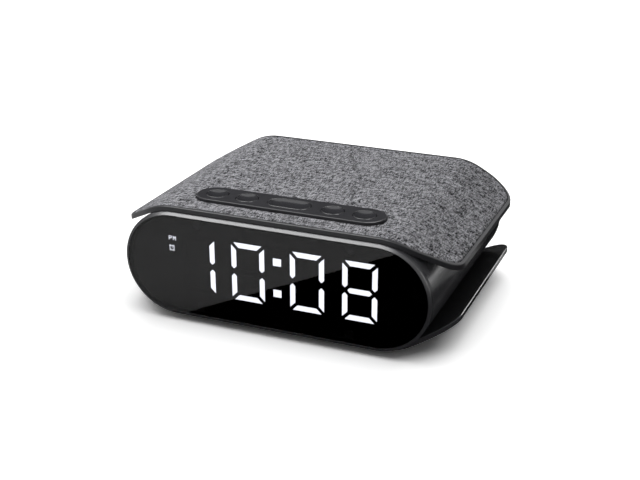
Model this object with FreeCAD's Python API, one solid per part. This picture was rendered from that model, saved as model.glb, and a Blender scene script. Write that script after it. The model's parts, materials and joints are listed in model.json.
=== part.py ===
import FreeCAD, Part
import math
import os

# Talking clock. Millimetres, +Z up, +X to the clock's right hand side as it is read.
# The display faces -Y. The origin is on the table, under the middle of the clock.

# Body: a tube of stadium section that lies on its side
body_radius = 30.0          # half the height of the stadium section
half_straight = 58.5        # half the length of its flat top
body_length = 138.6         # bezel edge to rear face
sleeve_wall = 2.2
seam = 0.3                  # visible joint between two shells

# Upper and lower covers, which bend down and up past the shoulders as wings
cover_offset = 3.0          # outer skin of a cover, above the body
cover_gap = 0.3             # air between a cover and the body
wing_bend = 29.0            # degrees that a wing turns down
cover_half_width = 97.6
cover_setback = 0.5         # upper cover's front edge, behind the bezel edge
cover_rear_overhang = 1.4   # covers' rear edge, past the rear face
lower_setback = 7.0         # lower cover's front edge, behind the bezel edge
shoulder_inset = 26.4       # from the wing tip in to where the front edge turns back
front_sweep = 33.0          # degrees that it turns back
shoulder_radius = 34.0
tip_radius = 16.0
rear_radius = 20.0
edge_round = 0.6
inner_edge_round = 0.45     # on the lower cover's inner edges

# Fabric inlay of the upper cover
rim_width = 1.5
inlay_depth = 1.0
inlay_groove = 0.25         # open joint round the fabric
glue_line = 0.05

# Bezel and display window
bezel_rise = 0.9            # the bevelled front ring's height, ahead of the bezel edge
bezel_edge_round = 0.5      # between the bevel and the outer band
bezel_band = 2.5            # outer band of the bezel behind its edge
bezel_ring = 1.7            # section radius from outer edge to window opening
window_fit = 0.15
window_setback = 0.3
window_thickness = 1.5
ledge_width = 1.65          # ledge that the window is glued to
skirt_fit = 0.1
skirt_length = 8.0          # bezel edge to the skirt's rear end

# Display
digit_height = 33.2
digit_width = 19.2
digit_pitch = 29.4          # between neighbouring digits of a pair
pair_pitch = 34.1           # across the colon
segment_width = 2.8
segment_gap = 1.5           # from a bar's end to the mitre line
colon_x = 3.05
colon_width = 4.6
colon_height = 4.1
colon_offset = 9.0
digit_rise = 1.35           # middle of the digits above the body axis
mask_gap = 0.3
cell_fit = 0.1
bar_depth = 2.2
board_thickness = 1.6
board_edge = 0.4
led_width = 1.6
led_length = 3.0
led_height = 1.0
pm_x = -59.15
pm_z = 14.7
letter_height = 2.4
letter_width = 1.75
letter_gap = 0.8
letter_stroke = 0.36
alarm_x = -59.6
alarm_z = 8.9
alarm_radius = 1.5
alarm_stroke = 0.34
icon_depth = 0.8
icon_skin = 0.4             # mask left behind an indicator
icon_cell_margin = 0.8
display_boss_x = 44.0
display_boss_radius = 2.5
display_boss_inset = 2.8    # boss centre, inside the skirt's inner face

# Screws
screw_radius = 1.0
screw_head_radius = 1.9
screw_head_height = 1.3
screw_length = 5.0
pilot_fit = 0.05
rear_screw_radius = 1.3
rear_head_radius = 2.5
rear_head_height = 1.6
rear_screw_length = 12.0
rear_boss_x = 52.0
rear_boss_radius = 3.4
rear_boss_length = 15.0
boss_embed = 1.2            # how deep a boss runs into the wall
cover_screw_x = 54.0
cover_screw_front = 40.0    # from the bezel edge
cover_screw_rear = 38.6     # from the rear face
cover_screw_bite = 1.5      # depth of thread in a cover
recess_share = 0.6          # cross recess, of the head's radius and height
recess_arm_share = 0.25     # width of an arm of the cross, of its length

# Button bar, buttons and their switches
bar_half_length = 54.6
bar_half_width = 10.25
bar_middle = 24.4           # from the bezel edge
bar_rise = 1.5              # above the fabric
bar_round = 0.45
hole_edge_round = 0.2       # on the bar, round each button
dish_edge_round = 0.45      # on the rim of a dish
cap_rise = 0.3              # rim of a dish, above the bar
bar_fit = 0.15
button_radius = 6.2
button_pitch = 18.0         # between two round buttons
button_inner_x = 25.0
long_button_half = 12.4     # half the length of the long middle button
button_fit = 0.25
dish_depth = 1.1
flange_width = 0.8
flange_height = 1.0
flange_roof = 2.1           # bar above the flange pocket
flange_play = 0.1
pocket_fit = 0.3
stem_radius = 2.0
stem_fit = 0.5
button_travel = 0.8
switch_side = 6.0
switch_height = 3.6
plunger_radius = 1.5
plunger_fit = 0.1
plunger_height = 0.8        # plunger above the switch housing
plunger_grip = 0.6          # plunger inside the housing at rest
plunger_spare = 0.4
switch_drop = 2.0           # top of the switch housings below the sleeve's roof
switch_board_half_length = 50.0
switch_board_half_width = 8.0
post_radius = 2.5
post_x = 13.0
bar_screw_x = 34.0
bar_screw_bite = 2.0

# Feet
foot_stand = 1.2
foot_radius = 6.0
foot_recess = 1.0
foot_fit = 0.15
foot_x = 50.0
foot_front = 20.0           # from the bezel edge
foot_rear = 20.0            # from the covers' rear edge
foot_round = 0.4

# Rear cover and loudspeaker
rear_plate = 2.4
rear_spigot = 4.0
spigot_wall = 1.6
speaker_x = -28.0
speaker_radius = 20.0
speaker_depth = 15.0
basket_wall = 0.8
flange_thickness = 1.2
surround_radius = 16.5
basket_rear_radius = 11.0
magnet_radius = 10.0
magnet_height = 5.0
cone_thickness = 0.5
cone_throat_radius = 5.0
cap_radius = 5.5
cap_height = 2.0
gasket_thickness = 0.8
gasket_width = 3.0
speaker_screw_circle = 21.6
speaker_boss_radius = 2.6
grille_hole_radius = 1.1
grille_pitch = 4.2
grille_rings = 3

# Main board and what it carries
main_half_width = 44.0
main_front = 50.0           # from the bezel edge
main_rear_gap = 3.2         # from the rear cover's inner face
main_stand = 5.0
main_post_inset = 4.0
voice_chip_side = 12.0
voice_chip_height = 1.8
clock_chip_length = 15.0
clock_chip_width = 7.5
clock_chip_height = 2.2
crystal_length = 10.5
crystal_width = 4.0
crystal_height = 3.4
large_capacitor_radius = 5.0
large_capacitor_height = 12.5
small_capacitor_radius = 3.2
small_capacitor_height = 8.0
connector_width = 14.0
connector_depth = 5.0
connector_height = 5.5
power_socket_x = 30.0
power_socket_width = 9.0
power_socket_height = 11.0
power_socket_depth = 14.0
power_bore_radius = 3.0
power_pin_radius = 1.0
power_bore_depth = 10.0
power_window_radius = 4.2

# Back-up cell and its door
door_x = 10.0
door_width = 26.0
door_height = 32.0
door_thickness = 1.2
door_ledge = 1.6
door_fit = 0.15
door_round = 2.0
cell_radius = 10.0
cell_thickness = 3.2
cell_play = 0.3
holder_floor = 1.2
holder_wall = 1.0
cell_drop = 3.0             # cell centre below the body axis
door_screw_rise = 11.6

# Ribbons
ribbon_thickness = 0.6
ribbon_width = 12.0
ribbon_bend = 4.0
ribbon_x = 18.0
switch_ribbon_x = -20.0
ribbon_tail = 8.0

overrun = 5.0               # how far a cutting tool reaches past what it cuts
edge_tolerance = 0.05       # an edge this near to a level lies on it
level_share = 0.01          # a face whose normal rises less than this is upright

# Levels and places worked out from the sizes above
axis_z = foot_stand + cover_offset + body_radius
shoulder_x = cover_half_width - shoulder_inset
cover_length = body_length + cover_rear_overhang - cover_setback
edge_y = (bezel_rise - cover_setback - cover_length) / 2
bezel_front_y = edge_y - bezel_rise
window_front_y = bezel_front_y + window_setback
window_rear_y = window_front_y + window_thickness
mask_front_y = window_rear_y + mask_gap
skirt_end_y = edge_y + skirt_length
display_board_rear_y = skirt_end_y + board_thickness
sleeve_front_y = edge_y + bezel_band + seam
rear_inner_y = edge_y + body_length - rear_plate
rear_face_y = edge_y + body_length
cover_front_y = edge_y + cover_setback
cover_rear_y = cover_front_y + cover_length
lower_front_y = edge_y + lower_setback
sleeve_inner_radius = body_radius - sleeve_wall
window_opening_radius = body_radius - bezel_ring
ledge_radius = window_opening_radius - ledge_width
roof_z = axis_z + sleeve_inner_radius
body_top_z = axis_z + body_radius
fabric_top_z = body_top_z + cover_offset
bar_top_z = fabric_top_z + bar_rise
cap_top_z = bar_top_z + cap_rise
bar_y = edge_y + bar_middle
pocket_roof_z = bar_top_z - flange_roof
flange_top_z = pocket_roof_z - flange_play
switch_top_z = roof_z - switch_drop
plunger_top_z = switch_top_z + plunger_height
switch_board_top_z = switch_top_z - switch_height
floor_z = axis_z - sleeve_inner_radius
main_board_z = floor_z + main_stand
main_top_z = main_board_z + board_thickness
cover_underside_z = foot_stand
cell_z = axis_z - cell_drop
door_screw_z = axis_z + door_screw_rise
main_rear = body_length - rear_plate - main_rear_gap
board_middle_y = (main_front + main_rear) / 2
connector_y = main_front + connector_depth
holder_front_y = rear_face_y - door_thickness - cell_play - cell_thickness - holder_floor


def place(x, y, z):
    return FreeCAD.Vector(x, y, z)


def block(x0, x1, y0, y1, z0, z1):
    return Part.makeBox(x1 - x0, y1 - y0, z1 - z0, place(x0, y0, z0))


def round_z(radius, x, y, z0, z1):
    return Part.makeCylinder(radius, z1 - z0, place(x, y, z0), place(0, 0, 1))


def round_y(radius, x, y0, y1, z):
    return Part.makeCylinder(radius, y1 - y0, place(x, y0, z), place(0, 1, 0))


def join(shapes):
    result = shapes[0]
    for shape in shapes[1:]:
        result = result.fuse(shape)
    return result.removeSplitter()


def cut(shape, tools):
    for tool in tools:
        shape = shape.cut(tool)
    return shape


def group(shapes):
    return Part.makeCompound(shapes)


# Outlines

def rounded_outline(corners, radii):
    """A closed outline with tangent arcs at its corners."""
    count = len(corners)
    starts = []
    ends = []
    edges = []
    for i in range(count):
        corner = corners[i]
        back = (corners[i - 1] - corner).normalize()
        ahead = (corners[(i + 1) % count] - corner).normalize()
        half_angle = back.getAngle(ahead) / 2
        reach = radii[i] / math.tan(half_angle)
        start = corner + back * reach
        end = corner + ahead * reach
        inward = (back + ahead).normalize()
        middle = corner + inward * (radii[i] / math.sin(half_angle) - radii[i])
        starts.append(start)
        ends.append(end)
        edges.append(Part.Arc(start, middle, end).toShape())
    for i in range(count):
        edges.append(Part.makeLine(ends[i], starts[(i + 1) % count]))
    return Part.Wire(Part.__sortEdges__(edges))


def stadium_wire(radius, y):
    """The body's section at this depth."""
    left = -half_straight
    right = half_straight
    top = axis_z + radius
    bottom = axis_z - radius
    edges = [
        Part.makeLine(place(left, y, top), place(right, y, top)),
        Part.Arc(place(right, y, top), place(right + radius, y, axis_z), place(right, y, bottom)).toShape(),
        Part.makeLine(place(right, y, bottom), place(left, y, bottom)),
        Part.Arc(place(left, y, bottom), place(left - radius, y, axis_z), place(left, y, top)).toShape(),
    ]
    return Part.Wire(edges)


def stadium(radius, y0, y1):
    return Part.Face(stadium_wire(radius, y0)).extrude(place(0, y1 - y0, 0))


def flat_stadium(half_length, radius, x, z0, z1):
    """An upright stadium prism in the button bar, long in X."""
    middle = half_length - radius
    if middle <= 0:
        return round_z(radius, x, bar_y, z0, z1)
    parts = [
        block(x - middle, x + middle, bar_y - radius, bar_y + radius, z0, z1),
        round_z(radius, x - middle, bar_y, z0, z1),
        round_z(radius, x + middle, bar_y, z0, z1),
    ]
    return join(parts)


def wing_layer(inner, outer, side):
    """A layer between two skins of a cover: side is 1 for the upper, -1 for the lower."""
    bend = math.radians(wing_bend)
    far_x = cover_half_width + overrun

    def skin(radius):
        knee_x = half_straight + radius * math.sin(bend)
        knee_z = radius * math.cos(bend)
        arc_x = half_straight + radius * math.sin(bend / 2)
        arc_z = radius * math.cos(bend / 2)
        far_z = knee_z - (far_x - knee_x) * math.tan(bend)
        return [(half_straight, radius), (arc_x, arc_z), (knee_x, knee_z), (far_x, far_z)]

    def point(x, z):
        return place(x, cover_front_y, axis_z + side * z)

    def edges_of(skin_points, sign):
        start, middle, knee, far = [point(sign * x, z) for x, z in skin_points]
        return [Part.Arc(start, middle, knee).toShape(), Part.makeLine(knee, far)]

    edges = []
    ends = {}
    for radius in (inner, outer):
        points = skin(radius)
        edges += edges_of(points, 1) + edges_of(points, -1)
        edges.append(Part.makeLine(point(-half_straight, radius), point(half_straight, radius)))
        ends[radius] = points[-1]
    for sign in (1, -1):
        low = point(sign * ends[inner][0], ends[inner][1])
        high = point(sign * ends[outer][0], ends[outer][1])
        edges.append(Part.makeLine(low, high))
    face = Part.Face(Part.Wire(Part.__sortEdges__(edges)))
    return face.extrude(place(0, cover_length, 0))


def plan_wire(front_y):
    """The covers' outline seen from above."""
    sweep = math.tan(math.radians(front_sweep))
    front_x = shoulder_x + (front_y - cover_front_y) / sweep
    tip_y = front_y + (cover_half_width - front_x) * sweep
    corners = [
        place(-front_x, front_y, 0),
        place(front_x, front_y, 0),
        place(cover_half_width, tip_y, 0),
        place(cover_half_width, cover_rear_y, 0),
        place(-cover_half_width, cover_rear_y, 0),
        place(-cover_half_width, tip_y, 0),
    ]
    radii = [shoulder_radius, shoulder_radius, tip_radius, rear_radius, rear_radius, tip_radius]
    return rounded_outline(corners, radii)


def plan_prism(front_y, inset):
    wire = plan_wire(front_y)
    if inset > 0:
        wire = wire.makeOffset2D(-inset)
    return Part.Face(wire).extrude(place(0, 0, bar_top_z))


# Screws: cross-recessed head at the near end, shank along the given direction

def screw(x, y, z, direction, radius, head_radius, head_height, length):
    head = Part.makeCylinder(head_radius, head_height)
    shank = Part.makeCylinder(radius, length, place(0, 0, head_height))
    reach = head_radius * recess_share
    half = reach * recess_arm_share
    depth = head_height * recess_share
    arms = [block(-reach, reach, -half, half, 0, depth), block(-half, half, -reach, reach, 0, depth)]
    body = cut(join([head, shank]), arms)
    turn = FreeCAD.Rotation(place(0, 0, 1), direction)
    body.Placement = FreeCAD.Placement(place(x, y, z), turn)
    return body


def cover_screw_places():
    places = []
    for x in (-cover_screw_x, cover_screw_x):
        for y in (edge_y + cover_screw_front, rear_face_y - cover_screw_rear):
            places.append((x, y))
    return places


def rear_screw_places():
    z = sleeve_inner_radius - rear_boss_radius + boss_embed
    return [(x, axis_z + s * z) for x in (-rear_boss_x, rear_boss_x) for s in (-1, 1)]


def display_boss_places():
    z = ledge_radius - display_boss_inset
    return [(x, axis_z + s * z) for x in (-display_boss_x, display_boss_x) for s in (-1, 1)]


def main_post_places():
    places = []
    for x in (main_post_inset - main_half_width, main_half_width - main_post_inset):
        for y in (main_front + main_post_inset, main_rear - main_post_inset):
            places.append((x, edge_y + y))
    return places


def button_places():
    outer = button_inner_x + button_pitch
    return [
        ("button_time", -outer, button_radius),
        ("button_alarm", -button_inner_x, button_radius),
        ("button_talk", 0, long_button_half),
        ("button_down", button_inner_x, button_radius),
        ("button_up", outer, button_radius),
    ]


# Shells

def body_sleeve():
    tube = stadium(body_radius, sleeve_front_y, rear_inner_y - seam)
    tube = tube.cut(stadium(sleeve_inner_radius, sleeve_front_y - overrun, rear_inner_y + overrun))
    additions = [tube]
    holes = []
    boss_rear_y = rear_inner_y - rear_spigot - seam
    for x, z in rear_screw_places():
        additions.append(round_y(rear_boss_radius, x, boss_rear_y - rear_boss_length, boss_rear_y, z))
        holes.append(round_y(rear_screw_radius + pilot_fit, x, boss_rear_y - rear_boss_length, boss_rear_y, z))
    for x in (-post_x, post_x):
        additions.append(round_z(post_radius, x, bar_y, switch_board_top_z, roof_z + sleeve_wall / 2))
        holes.append(round_z(screw_radius + pilot_fit, x, bar_y, switch_board_top_z, roof_z))
    for x, y in main_post_places():
        additions.append(round_z(post_radius, x, y, floor_z - sleeve_wall / 2, main_board_z))
        holes.append(round_z(screw_radius + pilot_fit, x, y, floor_z, main_board_z))
    for name, x, half_length in button_places():
        holes.append(round_z(stem_radius + stem_fit, x, bar_y, roof_z - overrun, body_top_z + overrun))
    for x in (-bar_screw_x, bar_screw_x):
        holes.append(round_z(screw_radius + pilot_fit, x, bar_y, roof_z - overrun, body_top_z + overrun))
    for x, y in cover_screw_places():
        hole = round_z(screw_radius + pilot_fit, x, y, cover_underside_z, bar_top_z)
        holes.append(hole)
    return cut(join(additions), holes)


def outer_front_edges(shape, y, radius):
    """Edges of the outer outline of this section radius at this depth."""
    found = []
    for edge in shape.Edges:
        box = edge.BoundBox
        middle = edge.valueAt((edge.FirstParameter + edge.LastParameter) / 2)
        across = max(abs(middle.x) - half_straight, 0)
        distance = math.hypot(across, middle.z - axis_z)
        flat = max(abs(box.YMin - y), abs(box.YMax - y)) < seam / 2
        if flat and abs(distance - radius) < seam / 2:
            found.append(edge)
    return found


def front_bezel():
    wires = [stadium_wire(body_radius, edge_y), stadium_wire(window_opening_radius, bezel_front_y)]
    bevel = Part.makeLoft(wires, True, True)
    ring = join([stadium(body_radius, edge_y, edge_y + bezel_band), bevel])
    ring = ring.makeFillet(bezel_edge_round, outer_front_edges(ring, edge_y, body_radius))
    skirt = stadium(sleeve_inner_radius - skirt_fit, edge_y, skirt_end_y)
    shell = ring.fuse(skirt)
    shell = shell.cut(stadium(window_opening_radius, bezel_front_y - overrun, window_rear_y))
    shell = shell.cut(stadium(ledge_radius, bezel_front_y - overrun, skirt_end_y + overrun))
    bosses = []
    holes = []
    keep = stadium(sleeve_inner_radius - skirt_fit, mask_front_y, skirt_end_y)
    for x, z in display_boss_places():
        outward = math.copysign(display_boss_inset, z - axis_z)
        boss = round_y(display_boss_radius, x, mask_front_y, skirt_end_y, z)
        web_low = min(z, z + outward)
        web = block(x - display_boss_radius, x + display_boss_radius, mask_front_y, skirt_end_y,
                    web_low, web_low + display_boss_inset)
        bosses.append(boss.fuse(web).common(keep))
        holes.append(round_y(screw_radius + pilot_fit, x, skirt_end_y - screw_length, skirt_end_y, z))
    return cut(join([shell] + bosses), holes)


def display_window():
    return stadium(window_opening_radius - window_fit, window_front_y, window_rear_y)


def cover_shell(side, front_y):
    shell = wing_layer(body_radius + cover_gap, body_radius + cover_offset, side)
    return shell.common(plan_prism(front_y, 0))


def rim_edges(shape, side, skin_radius):
    """Edges of a cover between one of its skins and its upright walls."""
    bend = math.radians(wing_bend)
    knee_x = half_straight + skin_radius * math.sin(bend)
    found = []
    for edge in shape.Edges:
        on_skin = True
        upright = False
        for share in (0, 0.5, 1):
            span = edge.LastParameter - edge.FirstParameter
            p = edge.valueAt(edge.FirstParameter + span * share)
            height = side * (p.z - axis_z)
            if abs(p.x) <= knee_x:
                distance = math.hypot(max(abs(p.x) - half_straight, 0), height) - skin_radius
            else:
                past = abs(p.x) - knee_x
                distance = height - skin_radius * math.cos(bend) + past * math.tan(bend)
            on_skin = on_skin and abs(distance) < edge_tolerance
        for face in shape.ancestorsOfType(edge, Part.Face):
            middle = face.Surface.parameter(edge.valueAt(edge.FirstParameter))
            upright = upright or abs(face.normalAt(middle[0], middle[1]).z) < level_share
        if on_skin and upright:
            found.append(edge)
    return found


def top_cover():
    shell = cover_shell(1, cover_front_y)
    shell = shell.makeFillet(edge_round, rim_edges(shell, 1, body_radius + cover_offset))
    floor_radius = body_radius + cover_offset - inlay_depth
    recess = wing_layer(floor_radius, body_radius + cover_offset + overrun, 1)
    recess = recess.common(plan_prism(cover_front_y, rim_width))
    shell = shell.cut(recess)
    opening = flat_stadium(bar_half_length + bar_fit, bar_half_width + bar_fit, 0, roof_z, bar_top_z + overrun)
    holes = [opening]
    for x, y in cover_screw_places():
        top_z = body_top_z + cover_gap + cover_screw_bite
        holes.append(round_z(screw_radius + pilot_fit, x, y, roof_z, top_z))
    return cut(shell, holes)


def fabric_panel():
    floor_radius = body_radius + cover_offset - inlay_depth + glue_line
    layer = wing_layer(floor_radius, body_radius + cover_offset, 1)
    panel = layer.common(plan_prism(cover_front_y, rim_width + inlay_groove))
    gap = bar_fit + inlay_groove
    opening = flat_stadium(bar_half_length + gap, bar_half_width + gap, 0, roof_z, bar_top_z + overrun)
    return panel.cut(opening)


def bottom_cover():
    shell = cover_shell(-1, lower_front_y)
    shell = shell.makeFillet(edge_round, rim_edges(shell, -1, body_radius + cover_offset))
    shell = shell.makeFillet(inner_edge_round, rim_edges(shell, -1, body_radius + cover_gap))
    holes = []
    for x, y in foot_places():
        holes.append(round_z(foot_radius + foot_fit, x, y, 0, cover_underside_z + foot_recess))
    for x, y in cover_screw_places():
        low_z = axis_z - body_radius - cover_gap - cover_screw_bite
        holes.append(round_z(screw_radius + pilot_fit, x, y, low_z, floor_z))
    return cut(shell, holes)


def foot_places():
    return [(x, y) for x in (-foot_x, foot_x) for y in (edge_y + foot_front, cover_rear_y - foot_rear)]


def rubber_foot(x, y):
    pad = round_z(foot_radius, x, y, 0, foot_stand + foot_recess)
    rim = [edge for edge in pad.Edges if edge.BoundBox.ZMax < foot_round / 2]
    return pad.makeFillet(foot_round, rim)


# Display

def segment_outlines():
    """The seven bars of a digit, as corner lists about the digit's centre."""
    w = digit_width / 2
    h = digit_height / 2
    t = segment_width
    g = segment_gap
    half = t / 2
    top = [(g - w, h), (w - g, h), (w - t - g, h - t), (t + g - w, h - t)]
    upper = [(w, h - g), (w, half + g), (w - half, g), (w - t, half + g), (w - t, h - t - g)]
    middle = [(half + g - w, 0), (t + g - w, half), (w - t - g, half),
              (w - half - g, 0), (w - t - g, -half), (t + g - w, -half)]
    mirrored = [(x, -z) for x, z in top]
    return {
        "top": top,
        "upper_right": upper,
        "upper_left": [(-x, z) for x, z in upper],
        "middle": middle,
        "lower_right": [(x, -z) for x, z in upper],
        "lower_left": [(-x, -z) for x, z in upper],
        "bottom": mirrored,
    }


def digit_centres():
    near = pair_pitch / 2
    far = near + digit_pitch
    return [colon_x - far, colon_x - near, colon_x + near, colon_x + far]


# 10:08, as the bars that are lit in each digit
lit_bars = [
    ["upper_right", "lower_right"],
    ["top", "upper_right", "upper_left", "lower_right", "lower_left", "bottom"],
    ["top", "upper_right", "upper_left", "lower_right", "lower_left", "bottom"],
    ["top", "upper_right", "upper_left", "middle", "lower_right", "lower_left", "bottom"],
]


def bar_prism(corners, x, fit, y0, y1):
    z = axis_z + digit_rise
    points = [place(x + px, y0, z + pz) for px, pz in corners]
    wire = Part.makePolygon(points + [points[0]])
    if fit > 0:
        wire = wire.makeOffset2D(fit, 2)
    return Part.Face(wire).extrude(place(0, y1 - y0, 0))


def digit_bars(index, lit, fit, y0, y1):
    x = digit_centres()[index]
    chosen = []
    for name, corners in segment_outlines().items():
        if (name in lit_bars[index]) == lit:
            chosen.append(bar_prism(corners, x, fit, y0, y1))
    return chosen


def unlit_bars():
    bars = []
    for index in range(len(lit_bars)):
        bars += digit_bars(index, False, 0, mask_front_y, mask_front_y + bar_depth)
    return group(bars)


def colon_bars(fit, y0, y1):
    bars = []
    for side in (-1, 1):
        z = axis_z + digit_rise + side * colon_offset
        x0 = colon_x - colon_width / 2 - fit
        z0 = z - colon_height / 2 - fit
        bars.append(block(x0, x0 + colon_width + 2 * fit, y0, y1, z0, z0 + colon_height + 2 * fit))
    return bars


def stroke(x0, z0, x1, z1, width, y0, y1):
    """A flat bar from one point of the front plane to another."""
    along = place(x1 - x0, 0, z1 - z0).normalize()
    side = place(-along.z, 0, along.x) * (width / 2)
    start = place(x0, y0, z0) - along * (width / 2)
    end = place(x1, y0, z1) + along * (width / 2)
    corners = [start + side, end + side, end - side, start - side]
    face = Part.Face(Part.makePolygon(corners + [corners[0]]))
    return face.extrude(place(0, y1 - y0, 0))


def indicator_icons():
    y0 = mask_front_y
    y1 = y0 + icon_depth
    half = (letter_width - letter_stroke) / 2
    rise = (letter_height - letter_stroke) / 2
    z = axis_z + pm_z
    px = pm_x - (letter_width + letter_gap) / 2
    mx = pm_x + (letter_width + letter_gap) / 2
    p_lines = [(-1, -1, -1, 1), (-1, 1, 1, 1), (1, 1, 1, 0), (1, 0, -1, 0)]
    m_lines = [(-1, -1, -1, 1), (-1, 1, 0, 0), (0, 0, 1, 1), (1, 1, 1, -1)]
    icons = []
    for x, lines in ((px, p_lines), (mx, m_lines)):
        strokes = [stroke(x + a * half, z + b * rise, x + c * half, z + d * rise, letter_stroke, y0, y1)
                   for a, b, c, d in lines]
        icons.append(join(strokes))
    z = axis_z + alarm_z
    rim = round_y(alarm_radius, alarm_x, y0, y1, z)
    rim = rim.cut(round_y(alarm_radius - alarm_stroke, alarm_x, y0, y1, z))
    hand = alarm_radius / 2
    bell = alarm_radius + alarm_stroke
    strokes = [
        rim,
        stroke(alarm_x, z, alarm_x, z + hand, alarm_stroke / 2, y0, y1),
        stroke(alarm_x, z, alarm_x + hand, z, alarm_stroke / 2, y0, y1),
        stroke(alarm_x, z + hand, alarm_x, z + alarm_radius - alarm_stroke / 2, alarm_stroke / 2, y0, y1),
    ]
    for side in (-1, 1):
        for degrees, length in ((50, alarm_stroke), (-50, alarm_stroke / 2)):
            angle = math.radians(degrees)
            cx = alarm_x + side * bell * math.cos(angle)
            cz = z + bell * math.sin(angle)
            tx = side * math.sin(angle) * length
            tz = math.cos(angle) * length
            strokes.append(stroke(cx - tx, cz + tz, cx + tx, cz - tz, alarm_stroke, y0, y1))
    icons.append(join(strokes))
    return group(icons)


def display_mask():
    mask = stadium(ledge_radius - mask_gap, mask_front_y, skirt_end_y)
    holes = []
    for index in range(len(lit_bars)):
        for lit in (True, False):
            holes += digit_bars(index, lit, cell_fit, mask_front_y - overrun, skirt_end_y + overrun)
    holes += colon_bars(cell_fit, mask_front_y - overrun, skirt_end_y + overrun)
    holes.append(indicator_icons())
    y0 = mask_front_y + icon_depth + icon_skin
    for x, z, half_width, half_height in (
            (pm_x, pm_z, letter_width + letter_gap, letter_height / 2),
            (alarm_x, alarm_z, alarm_radius + alarm_stroke, alarm_radius + alarm_stroke)):
        half_width = half_width + icon_cell_margin
        half_height = half_height + icon_cell_margin
        holes.append(block(x - half_width, x + half_width, y0, skirt_end_y + overrun,
                           axis_z + z - half_height, axis_z + z + half_height))
    for x, z in display_boss_places():
        outward = math.copysign(display_boss_inset + overrun, z - axis_z)
        width = display_boss_radius + mask_gap
        holes.append(round_y(width, x, mask_front_y - overrun, skirt_end_y + overrun, z))
        low = min(z, z + outward)
        holes.append(block(x - width, x + width, mask_front_y - overrun, skirt_end_y + overrun,
                           low, low + display_boss_inset + overrun))
    return cut(mask, holes)


def display_board():
    board = stadium(sleeve_inner_radius - board_edge, skirt_end_y, display_board_rear_y)
    holes = [round_y(screw_radius + pilot_fit, x, skirt_end_y, display_board_rear_y, z)
             for x, z in display_boss_places()]
    return cut(board, holes)


def led_at(x, z, along_x):
    half_x = led_length / 2 if along_x else led_width / 2
    half_z = led_width / 2 if along_x else led_length / 2
    return block(x - half_x, x + half_x, skirt_end_y - led_height, skirt_end_y, z - half_z, z + half_z)


def segment_leds():
    """One small lamp on the board behind each bar, the colon and the indicators."""
    leds = []
    for x in digit_centres():
        for name, corners in segment_outlines().items():
            xs = [px for px, pz in corners]
            zs = [pz for px, pz in corners]
            middle_x = (min(xs) + max(xs)) / 2
            middle_z = (min(zs) + max(zs)) / 2
            along_x = name in ("top", "middle", "bottom")
            leds.append(led_at(x + middle_x, axis_z + digit_rise + middle_z, along_x))
    for side in (-1, 1):
        leds.append(led_at(colon_x, axis_z + digit_rise + side * colon_offset, True))
    leds.append(led_at(pm_x, axis_z + pm_z, True))
    leds.append(led_at(alarm_x, axis_z + alarm_z, True))
    return group(leds)


def display_screws():
    y = display_board_rear_y + screw_head_height
    return group([screw(x, y, z, place(0, -1, 0), screw_radius, screw_head_radius,
                        screw_head_height, screw_length) for x, z in display_boss_places()])


# Buttons

def hole_edges(bar):
    """Edges of the buttons' holes in the bar's top face."""
    found = []
    for edge in bar.Edges:
        on_top = edge.BoundBox.ZMin > bar_top_z - edge_tolerance
        inside = edge.BoundBox.YMax < bar_y + button_radius + button_fit + edge_tolerance
        inside = inside and edge.BoundBox.YMin > bar_y - button_radius - button_fit - edge_tolerance
        if on_top and inside:
            found.append(edge)
    return found


def button_bar():
    bar = flat_stadium(bar_half_length, bar_half_width, 0, body_top_z, bar_top_z)
    top_edges = [edge for edge in bar.Edges if edge.BoundBox.ZMin > bar_top_z - edge_tolerance]
    bar = bar.makeFillet(bar_round, top_edges)
    holes = []
    for name, x, half_length in button_places():
        fit = button_fit
        holes.append(flat_stadium(half_length + fit, button_radius + fit, x, body_top_z, bar_top_z + overrun))
        fit = flange_width + pocket_fit
        holes.append(flat_stadium(half_length + fit, button_radius + fit, x, body_top_z, pocket_roof_z))
    for x in (-bar_screw_x, bar_screw_x):
        holes.append(round_z(screw_radius + pilot_fit, x, bar_y, body_top_z, body_top_z + bar_screw_bite))
    bar = cut(bar, holes)
    return bar.makeFillet(hole_edge_round, hole_edges(bar))


def button_cap(x, half_length):
    """A dished cap with a flange under the bar and a stem that reaches its switch."""
    cap = flat_stadium(half_length, button_radius, x, flange_top_z, cap_top_z)
    dish_radius = (button_radius ** 2 + dish_depth ** 2) / (2 * dish_depth)
    dish_z = cap_top_z + dish_radius - dish_depth
    middle = half_length - button_radius
    dishes = [Part.makeSphere(dish_radius, place(x - middle, bar_y, dish_z))]
    if middle > 0:
        dishes.append(Part.makeSphere(dish_radius, place(x + middle, bar_y, dish_z)))
        dishes.append(Part.makeCylinder(dish_radius, 2 * middle, place(x - middle, bar_y, dish_z), place(1, 0, 0)))
    cap = cut(cap, dishes)
    rim = [edge for edge in cap.Edges if edge.BoundBox.ZMin > cap_top_z - edge_tolerance]
    cap = cap.makeFillet(dish_edge_round, rim)
    flange_low_z = flange_top_z - flange_height
    flange = flat_stadium(half_length + flange_width, button_radius + flange_width, x, flange_low_z, flange_top_z)
    stem = round_z(stem_radius, x, bar_y, plunger_top_z, flange_low_z)
    return join([cap, flange, stem])


def switch_plunger(x):
    return round_z(plunger_radius, x, bar_y, switch_top_z - plunger_grip, plunger_top_z)


def switch_housings():
    housings = []
    half = switch_side / 2
    for name, x, half_length in button_places():
        body = block(x - half, x + half, bar_y - half, bar_y + half, switch_board_top_z, switch_top_z)
        bore_low = switch_top_z - plunger_grip - button_travel - plunger_spare
        bore = round_z(plunger_radius + plunger_fit, x, bar_y, bore_low, switch_top_z)
        housings.append(body.cut(bore))
    return group(housings)


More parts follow.
